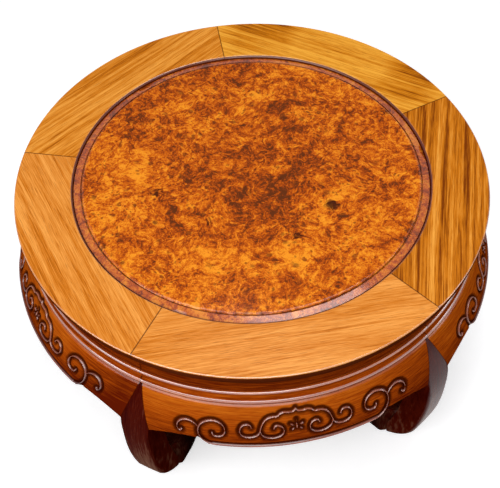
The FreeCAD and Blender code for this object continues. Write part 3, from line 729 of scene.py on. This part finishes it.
def leg_look(azimuth, polish):
    """The face is lighter brown towards the foot; flanks and inside are darkened as painted shade, and only
    the face is rubbed.
    """
    east, north = math.cos(azimuth), math.sin(azimuth)

    def measure(x, y, z):
        flank = np.clip((np.abs(y * east - x * north) - FLANK_START) / FLANK_RUN, 0, 1)
        inside = np.clip((INSIDE_START - x * east - y * north) / INSIDE_RUN, 0, 1)
        # Flanks and inside get painted shade.
        shaded_side = np.maximum(flank, inside)
        rise = np.clip((z - FADE_HEIGHT) / FADE_RUN, 0, 1)
        face, dark = FACE_TONE - FACE_FALL * rise, SHADED_SIDE_TONE - SHADED_SIDE_FALL * rise
        stripes = FACE_STRIPES + (SHADED_SIDE_STRIPES - FACE_STRIPES) * shaded_side
        return face + (dark - face) * shaded_side, stripes, polish * (1 - shaded_side)
    return measure


def fuller_scroll(azimuth):
    """Makes the foot's scroll nearly as thick as the leg, and a little longer towards the middle."""
    east, north = math.cos(azimuth), math.sin(azimuth)

    def reshape(x, y, z):
        reach, across = x * east + y * north, y * east - x * north
        if z < SCROLL_TOP:
            across *= 1 + SCROLL_WIDENING * min(max((WIDENING_START - reach) / WIDENING_RUN, 0), 1)
            reach -= SCROLL_GROWTH * min(max((SCROLL_CENTRE - reach) / SCROLL_RADIUS, 0), 1)
        return reach * east - across * north, reach * north + across * east, z
    return reshape


for index in range(1, SECTORS + 1):
    azimuth = leg_azimuth(index)
    mesh = eased_copy(f"leg_{index}", f"drum_leg_{index}", LEG_EASE, fuller_scroll(azimuth))
    store(mesh, "grain", upright_grain(azimuth, PLANK_STEP * index))
    store(mesh, "ends", no_joints)
    store(mesh, "board", leg_look(azimuth, LEG_POLISH[index - 1]))
    add_piece(mesh, leg_wood, "leg_wood", f"leg_{index}")
print("drum_leg", len(mesh.polygons), "faces each")


# %% [markdown]
# The burl panel floats in the rim's groove, and two dovetailed battens under it keep it flat while it
# swells and shrinks. The panel's figure needs no grain of its own, because burl has no one direction.

# %% Panel and battens
BATTEN_EASE = 0.001

panel = eased_copy("top_panel", "burl_panel", 0.0)
add_piece(panel, burl, "burl", "top_panel")
for node in ("panel_batten_1", "panel_batten_2"):
    batten = eased_copy(node, node.replace("panel_", "dovetail_"), BATTEN_EASE)
    store(batten, "grain", lambda x, y, z: (y, x, z))
    store(batten, "ends", no_joints)
    store_look(batten, 0.0, 1.0, 0.0, 0.0)
    add_piece(batten, batten_wood, "batten_wood", node)
print("panel", len(panel.polygons), "faces, battens", len(batten.polygons), "faces each")


# %% [markdown]
# The aprons carry the carving: cloud scrolls each side of a lobed cartouche with a flower in it, and a
# bead along the lower edge. A carver first draws the lines on the flat board. Here each line is a curve
# through a few points, drawn for one half and mirrored for the other, and its radius is its half width.

# %% The lines of the carving
MM = 0.001
APRON_LOW, SHOULDER_HEIGHT = (corner[2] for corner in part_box("apron_1"))
# Half of each line, in mm: along the apron from its middle, up from its lower edge, half width.
CARTOUCHE = ((0, 69.7, 1.4), (3.9, 66.4, 1.5), (11.7, 65.7, 1.6), (20.3, 66.4, 1.6), (27.7, 64.5, 1.5),
             (32.8, 60.9, 1.4), (40.6, 60.6, 1.6), (50, 58.5, 1.7), (57.4, 52.9, 1.7), (61.7, 45.9, 1.6),
             (64.4, 38.4, 1.6), (67, 32, 1.6), (72, 28, 1.7), (79.5, 25.8, 1.7), (88.3, 26, 1.7),
             (95.7, 29.5, 1.6), (99.6, 36, 1.5), (98.8, 43, 1.5), (94.5, 48.6, 1.5), (88, 50.8, 1.5),
             (82, 49.5, 1.5), (79.2, 44.5, 1.9))
INNER_CURL = ((64.4, 36, 1.2), (61.5, 28, 1.6), (55, 23.2, 1.7), (45.5, 20.8, 1.7), (36, 21.3, 1.7),
              (27.5, 25, 1.6), (23.2, 32, 1.5), (24.5, 38.8, 1.5), (30, 43.2, 1.6), (37, 44, 1.6),
              (40.8, 39, 1.9))
LARGE_SCROLL = ((148, 3.2, 2.2), (156, 6, 2.0), (163.5, 12, 1.9), (168.7, 20.5, 1.8), (171, 30, 1.7),
                (170.3, 39, 1.7), (166.7, 46.6, 1.7), (160.3, 52.4, 1.8), (152, 56.2, 1.8), (143, 57.4, 1.8),
                (134.3, 55.2, 1.8), (127.6, 49.6, 1.7), (124.9, 41.8, 1.6), (126.5, 34.2, 1.6),
                (131.8, 29, 1.6), (139, 27.4, 1.7), (145.3, 29, 1.9), (147, 33.6, 2.6))
SMALL_SCROLL = ((170.5, 43.6, 1.2), (176, 48.8, 1.6), (184, 52, 1.7), (192, 51.4, 1.7), (200, 47, 1.6),
                (205, 39.8, 1.5), (205.6, 32.6, 1.5), (202.4, 28.2, 1.6), (198.6, 31.2, 2.3))
PETALS = (((0, 36, 1.6), (0, 39.6, 2.8), (0, 43.2, 1.6)), ((0, 48.4, 0.8), (0, 51.4, 0.9)),
          ((6, 42, 0.8), (11, 44.2, 0.9)), ((5.4, 36, 0.8), (9, 33.6, 0.9)))
LOWER_BEAD = ((-148, 3.6, 4.4), (-75, 3.4, 4.4), (0, 3.4, 4.4), (75, 3.4, 4.4), (148, 3.6, 4.4))
# The left scrolls hang a little lower than the right ones, but not where they stand on the bead.
LEFT_DROP, DROP_START, DROP_RUN, DROP_FOOT, DROP_RISE = 6.0, 40, 110, 4, 25
LINE_SHARE = 0.68


def add_line(curve, points, side=1):
    """Draws one line of the carving, mirrored where side is -1."""
    spline = curve.splines.new("BEZIER")
    spline.bezier_points.add(len(points) - 1)
    for knot, (along, rise, half_width) in zip(spline.bezier_points, points):
        if side < 0:
            outer = min(max((along - DROP_START) / DROP_RUN, 0.0), 1.0)
            rise -= LEFT_DROP * outer * min(max((rise - DROP_FOOT) / DROP_RISE, 0.0), 1.0)
        knot.co = (side * along * MM, 0.0, APRON_LOW + rise * MM)
        knot.handle_left_type = knot.handle_right_type = "AUTO"
        knot.radius = LINE_SHARE * half_width * MM


line_curve = bpy.data.curves.new("carving_lines", "CURVE")
line_curve.dimensions = "3D"
line_curve.resolution_u = 16
for side in (1, -1):
    for points in (CARTOUCHE, INNER_CURL, LARGE_SCROLL, SMALL_SCROLL, *PETALS):
        add_line(line_curve, points, side)
add_line(line_curve, LOWER_BEAD)
carving_lines = bpy.data.objects.new("carving_lines", line_curve)
scene.collection.objects.link(carving_lines)
print("carving lines:", len(line_curve.splines))


# %% [markdown]
# An apron starts as a flat board with its real outline: mitred ends, a deep middle, a step each side and
# a shallow arch to the leg. The sizes are those of the solid, so that the board, once it is bent, fits
# where the solid was.

# %% The outline of an apron
SHOULDER_RADIUS = 0.438
DRUM_BULGE, DRUM_DROP = 0.0485, 0.142
DRUM_ARC = (DRUM_DROP ** 2 + DRUM_BULGE ** 2) / (2 * DRUM_BULGE)
DRUM_CENTRE = SHOULDER_RADIUS + DRUM_BULGE - DRUM_ARC
WIDEST_HEIGHT = SHOULDER_HEIGHT - DRUM_DROP
SHOULDER_ROUND, SHOULDER_SLOPE_HEIGHT, SHOULDER_SLOPE = 0.002, 0.0042, 0.45
MIDDLE_HALF, NOTCH_WIDTH, ARCH_RISE, ARCH_CROWN = 0.155, 0.017, 0.014, 0.005
LEG_HALF, LEG_POINT_HALF = 0.029, 0.002


def drum_radius(height, depth):
    """Radius of the drum at a height; depth is measured out from its face."""
    return DRUM_CENTRE + np.sqrt((DRUM_ARC + depth) ** 2 - (height - WIDEST_HEIGHT) ** 2)


def apron_end(height, depth):
    """Where an apron's mitre meets the leg, measured along the apron."""
    slope = (LEG_HALF - LEG_POINT_HALF) / (SHOULDER_HEIGHT - APRON_LOW)
    half_leg = LEG_POINT_HALF + slope * (SHOULDER_HEIGHT - height)
    radius = drum_radius(height, depth)
    return radius * np.sin(SECTOR_TURN / 2 - np.arcsin(half_leg / radius))


ARCH_END = float(apron_end(APRON_LOW, 0.0))


def lower_edge(along):
    """The apron's lower edge: a deep middle, a step each side and a shallow arch to the leg."""
    start = MIDDLE_HALF + NOTCH_WIDTH
    share = np.clip((np.abs(along) - start) / (ARCH_END - start), 0, 1)
    notch = np.clip((np.abs(along) - MIDDLE_HALF) / NOTCH_WIDTH, 0, 1) * ARCH_RISE
    arch = ARCH_RISE * (1 - share) + 4 * ARCH_CROWN * share * (1 - share)
    return APRON_LOW + np.where(share > 0, arch, notch)


def shoulder_fall(height):
    """How far the face falls back near the upper edge: a rounding on a small slope."""
    rounding = -SHOULDER_ROUND * np.clip((height - SHOULDER_HEIGHT) / SHOULDER_ROUND + 1, 0, 1) ** 2
    return rounding - SHOULDER_SLOPE * np.clip(height - SHOULDER_HEIGHT + SHOULDER_SLOPE_HEIGHT, 0, 1)


print("apron from", round(APRON_LOW, 4), "to", round(SHOULDER_HEIGHT, 4), "half length", round(ARCH_END, 4))


# %% [markdown]
# With the outline known, the board is a grid on the face, a grid on the back, a strip along each long
# edge and one face at each end. Carving needs a vertex about every 0.7 mm, so the columns are that fine
# where there is carving, and coarser near the legs and up the back.

# %% The flat board of an apron
APRON_THICKNESS = 0.024
CARVED_HALF = 0.214
FINE_STEP, COARSE_STEP = 0.00068, 0.0026
BACK_ROWS = 7


def board_grid(columns, shares, depth):
    """The vertices of the board's face, at depth 0, or of its back: a row for each share of the height."""
    low = lower_edge(columns)
    height = low[None, :] + (SHOULDER_HEIGHT - low)[None, :] * shares[:, None]
    along = columns[None, :] / ARCH_END * apron_end(height, depth)
    out = np.full_like(along, depth)
    if depth == 0:
        out = out + shoulder_fall(height)
    return np.stack([along, out, height], axis=-1).reshape(-1, 3)


def board_faces(wide, tall):
    """The faces of the closed board, for that many columns and rows on its face."""
    def front(row, column):
        return row * wide + column

    def back(row, column):
        return (tall + row) * wide + column

    faces = []
    for column in range(wide - 1):
        after = column + 1
        for row in range(tall - 1):
            faces.append((front(row, column), front(row, after),
                          front(row + 1, after), front(row + 1, column)))
        for row in range(BACK_ROWS - 1):
            faces.append((back(row, column), back(row + 1, column),
                          back(row + 1, after), back(row, after)))
        faces.append((back(0, column), back(0, after), front(0, after), front(0, column)))
        faces.append((front(tall - 1, column), front(tall - 1, after),
                      back(BACK_ROWS - 1, after), back(BACK_ROWS - 1, column)))
    left_end = [front(row, 0) for row in range(tall)]
    left_end += [back(row, 0) for row in reversed(range(BACK_ROWS))]
    right_end = [back(row, wide - 1) for row in range(BACK_ROWS)]
    right_end += [front(row, wide - 1) for row in reversed(range(tall))]
    return faces + [left_end, right_end]


def flat_board():
    """A closed board, flat, with fine squares on its face: x along, y out from the face, z up."""
    fine = np.arange(0, CARVED_HALF, FINE_STEP)
    coarse = np.linspace(CARVED_HALF, ARCH_END, round((ARCH_END - CARVED_HALF) / COARSE_STEP))
    half = np.concatenate([fine, coarse])
    columns = np.concatenate([-half[:0:-1], half])
    rows = np.linspace(0, 1, round((SHOULDER_HEIGHT - APRON_LOW) / FINE_STEP))
    face = board_grid(columns, rows, 0.0)
    back = board_grid(columns, np.linspace(0, 1, BACK_ROWS), -APRON_THICKNESS)
    mesh = bpy.data.meshes.new("flat_board")
    mesh.from_pydata(np.concatenate([face, back]).tolist(), [], board_faces(len(columns), len(rows)))
    mesh.validate()
    store(mesh, "ends", lambda x, y, z: (apron_end(z, y) - x, apron_end(z, y) + x, 0.0))
    return mesh


board = flat_board()
print("flat board:", len(board.polygons), "faces")


# %% [markdown]
# The carver sinks the ground round each line and leaves the line standing, so the height at a point
# depends only on how far the nearest line is and how wide that line is. That is a rule, and Geometry
# Nodes can apply it to every vertex of the flat board and then bend the board to the drum. The rule also
# marks hollows and ridges for the finish, which gives the one painted shade with dirt and polishes the other.

# %% The carver's rule
class Shaper(Nodes):
    """A geometry node tree with named inputs."""

    def __init__(self, name, inputs):
        super().__init__(bpy.data.node_groups.new(name, "GeometryNodeTree"))
        self.tree.interface.new_socket("Geometry", in_out="OUTPUT", socket_type="NodeSocketGeometry")
        self.keys = {}
        for label, kind in {"Geometry": "Geometry", **inputs}.items():
            socket = self.tree.interface.new_socket(label, in_out="INPUT", socket_type="NodeSocket" + kind)
            self.keys[label] = socket.identifier
        self.entry = self.tree.nodes.new("NodeGroupInput")
        self.exit = self.tree.nodes.new("NodeGroupOutput")

    def given(self, label):
        return Wire(self, self.entry.outputs[label])

    def end(self, geometry, material):
        real = self.add("GeometryNodeRealizeInstances", None, {0: geometry})
        dressed = self.add("GeometryNodeSetMaterial", None, {"Geometry": real, "Material": material})
        self.join(dressed, self.exit.inputs[0])

    def shaped(self, mesh, name, values):
        """A plain mesh: the given mesh after the tree has worked on it."""
        blank = bpy.data.objects.new(name, mesh)
        scene.collection.objects.link(blank)
        modifier = blank.modifiers.new(name, "NODES")
        modifier.node_group = self.tree
        for label, value in values.items():
            modifier[self.keys[label]] = value
        result = settled(blank)
        result.name = name
        return result


carver = Shaper("carver", {"Lines": "Object", "Line height": "Float", "Ground depth": "Float",
                           "Ground reach": "Float", "Turn": "Float"})
lines = carver.add("GeometryNodeObjectInfo", None, {"Object": carver.given("Lines")}, "Geometry")
widths = carver.add("GeometryNodeStoreNamedAttribute", {"data_type": "FLOAT", "domain": "POINT"},
                    {"Geometry": lines, "Name": "half_width", "Value": carver.add("GeometryNodeInputRadius")})
strings = carver.add("GeometryNodeCurveToMesh", None, {"Curve": widths})
gap = carver.add("GeometryNodeProximity", {"target_element": "EDGES"}, {"Geometry": strings}, "Distance")
near = carver.add("GeometryNodeSampleNearest", {"domain": "POINT"}, {"Geometry": strings})
stored_width = carver.add("GeometryNodeInputNamedAttribute", {"data_type": "FLOAT"}, {"Name": "half_width"})
half_width = carver.add("GeometryNodeSampleIndex", {"data_type": "FLOAT", "domain": "POINT"},
                        {"Geometry": strings, "Index": near, "Value": stored_width})
along, depth, height = carver.axes(carver.add("GeometryNodeInputPosition"))
sunk = carver.band(gap, half_width * 1.1, carver.given("Ground reach"), 1.0, 0.0)
line = (1.0 - (gap / half_width) ** 2.0).root()
ground = carver.given("Ground depth")
relief = line * (ground + carver.given("Line height")) - sunk * ground
# The first mark is how much painted shade, with dirt, the finish gives the sunk ground; the second is the
# standing line.
marks = carver.add("ShaderNodeCombineXYZ", None, {0: sunk * (1.0 - line), 1: line})
marked = carver.add("GeometryNodeStoreNamedAttribute", {"data_type": "FLOAT_VECTOR", "domain": "POINT"},
                    {"Geometry": carver.given("Geometry"), "Name": "carved", "Value": marks})
radius = ((depth + relief + DRUM_ARC) ** 2.0 - (height - WIDEST_HEIGHT) ** 2.0).root() + DRUM_CENTRE
around = carver.given("Turn").math("ARCSINE", along / radius) + carver.given("Turn")
bent = carver.add("ShaderNodeCombineXYZ", None, {0: around.math("COSINE", around) * radius,
                                                 1: around.math("SINE", around) * radius, 2: height})
carved = carver.add("GeometryNodeSetPosition", None, {"Geometry": marked, "Position": bent})
carver.end(carved, frame_wood)
print("carver:", len(carver.tree.nodes), "nodes")


# %% [markdown]
# One board and one rule make all five aprons, and only the turn differs. Each one's tone is lighter under
# the moulding and darker towards its lower edge and one end.

# %% Aprons
LINE_HEIGHT, GROUND_DEPTH, GROUND_REACH = 0.0006, 0.0032, 0.0098
APRON_SMOOTH_ANGLE = math.radians(50)
APRON_STEP = 1.3
END_SHADES = (0.12, 0.15, 0.2, 0.2, 0.34)
SHADE_START, SHADE_RUN = 0.09, 0.16
APRON_LOW_TONE, APRON_TONE_RISE, APRON_STRIPES = -0.29, 0.38, 0.4
SHOULDER_POLISH, SHOULDER_BLUR = 0.2, 0.001


def apron_look(azimuth, end_shade):
    """Lighter under the moulding, darker towards the lower edge and one end, polished on the shoulder."""
    def measure(x, y, z):
        along = bent_grain(azimuth, 0.0)(x, y, z)[0]
        share = np.clip((z - APRON_LOW) / (SHOULDER_HEIGHT - APRON_LOW), 0, 1)
        shade = end_shade * np.clip((along - SHADE_START) / SHADE_RUN, 0, 1)
        shoulder = np.clip((z - SHOULDER_HEIGHT + SHOULDER_SLOPE_HEIGHT) / SHOULDER_BLUR, 0, 1)
        return APRON_LOW_TONE + APRON_TONE_RISE * share - shade, APRON_STRIPES, SHOULDER_POLISH * shoulder
    return measure


for index in range(1, SECTORS + 1):
    azimuth = sector_azimuth(index)
    mesh = carver.shaped(board, f"carved_apron_{index}", {
        "Lines": carving_lines, "Line height": LINE_HEIGHT, "Ground depth": GROUND_DEPTH,
        "Ground reach": GROUND_REACH, "Turn": azimuth})
    shade_smooth(mesh, APRON_SMOOTH_ANGLE)
    store(mesh, "grain", bent_grain(azimuth, APRON_STEP * index))
    store(mesh, "board", apron_look(azimuth, END_SHADES[index - 1]))
    add_piece(mesh, frame_wood, "frame_wood", f"apron_{index}")
bpy.data.objects.remove(carving_lines)
print("carved aprons:", len(mesh.polygons), "faces each")


# %% [markdown]
# The table stands on a pale floor, as in a photo studio. The floor is pale to the camera and in
# reflections, and darker to light that bounces, so the underside of the table stays as dark as it is in
# a room, and the floor still takes the table's shadow.

# %% Floor
FLOOR_HALF = 15.0
FLOOR_GLOW = (0.45, 0.45, 0.45, 1.0)
FLOOR_SPECK_SCALE = 30.0
FLOOR_STOPS = [(0.3, (0.90, 0.90, 0.90)), (0.7, (0.94, 0.94, 0.94))]
FLOOR_DULL = (0.22, 0.21, 0.20, 1.0)
BLACK = (0.0, 0.0, 0.0, 1.0)

floor_mesh = bpy.data.meshes.new("floor")
floor_corners = [(x * FLOOR_HALF, y * FLOOR_HALF, 0) for x, y in ((-1, -1), (1, -1), (1, 1), (-1, 1))]
floor_mesh.from_pydata(floor_corners, [], [(0, 1, 2, 3)])
floor = bpy.data.objects.new("floor", floor_mesh)
scene.collection.objects.link(floor)
floor_finish = Finish("floor")
seen = floor_finish.seen_directly()
speck = floor_finish.noise(floor_finish.place(), FLOOR_SPECK_SCALE, 3.0)
floor_colour = floor_finish.mix(seen, FLOOR_DULL, floor_finish.ramp(speck, FLOOR_STOPS))
floor_finish.shade(Base_Color=floor_colour, Roughness=0.9, Specular_IOR_Level=0.0,
                   Emission_Color=floor_finish.mix(seen, BLACK, FLOOR_GLOW), Emission_Strength=1.0)
floor_mesh.materials.append(floor_finish.material)
print("floor:", 2 * FLOOR_HALF, "m square")


# %% [markdown]
# Light comes from a large window in front, a panel overhead and a narrow window at each side, all at a
# plain level, so that the colours look about as they are written. The room itself is dim to light that
# bounces, and pale to the camera and in reflections, so that the polish has something to mirror.

# %% Light
WHITE, COOL, BLUISH = (1.0, 1.0, 1.0), (0.94, 0.95, 1.0), (0.94, 0.94, 1.0)
# Each lamp: name, where it stands, the height on the table's axis that it aims at, width, height, watts
# and colour.
LAMPS = (
    ("front_window", (-0.9, -1.9, 2.6), 0.45, 3.4, 2.2, 76, WHITE),
    ("ceiling_panel", (0.5, 0.5, 3.0), 0.48, 1.9, 0.8, 30, WHITE),
    ("left_window", (-2.4, -1.0, 1.2), 0.35, 0.7, 1.1, 9, COOL),
    ("right_window", (2.3, -0.7, 1.1), 0.3, 0.4, 0.9, 5.0, BLUISH),
)
ROOM_DIM, ROOM_DIM_STRENGTH = (0.95, 0.96, 1.0, 1.0), 0.15
ROOM_PALE, ROOM_PALE_STRENGTH = (0.97, 0.98, 1.0, 1.0), 0.8

for name, place, aim_height, width, height, watts, colour in LAMPS:
    light = bpy.data.lights.new(name, "AREA")
    light.shape = "RECTANGLE"
    light.size, light.size_y = width, height
    light.energy = watts
    light.color = colour
    lamp = bpy.data.objects.new(name, light)
    scene.collection.objects.link(lamp)
    lamp.location = place
    sight = Vector((0, 0, aim_height)) - Vector(place)
    lamp.rotation_euler = sight.to_track_quat("-Z", "Y").to_euler()

world = bpy.data.worlds.new("room")
scene.world = world
world.use_nodes = True
world.node_tree.nodes.remove(world.node_tree.nodes["Background"])
room = Nodes(world.node_tree)
dim = room.add("ShaderNodeBackground", None, {"Color": ROOM_DIM, "Strength": ROOM_DIM_STRENGTH})
pale = room.add("ShaderNodeBackground", None, {"Color": ROOM_PALE, "Strength": ROOM_PALE_STRENGTH})
surroundings = room.add("ShaderNodeMixShader", None, {0: room.seen_directly(), 1: dim, 2: pale})
room.join(surroundings, world.node_tree.nodes["World Output"].inputs["Surface"])
scene.view_settings.view_transform = "Standard"
print("lamps:", [lamp[0] for lamp in LAMPS])
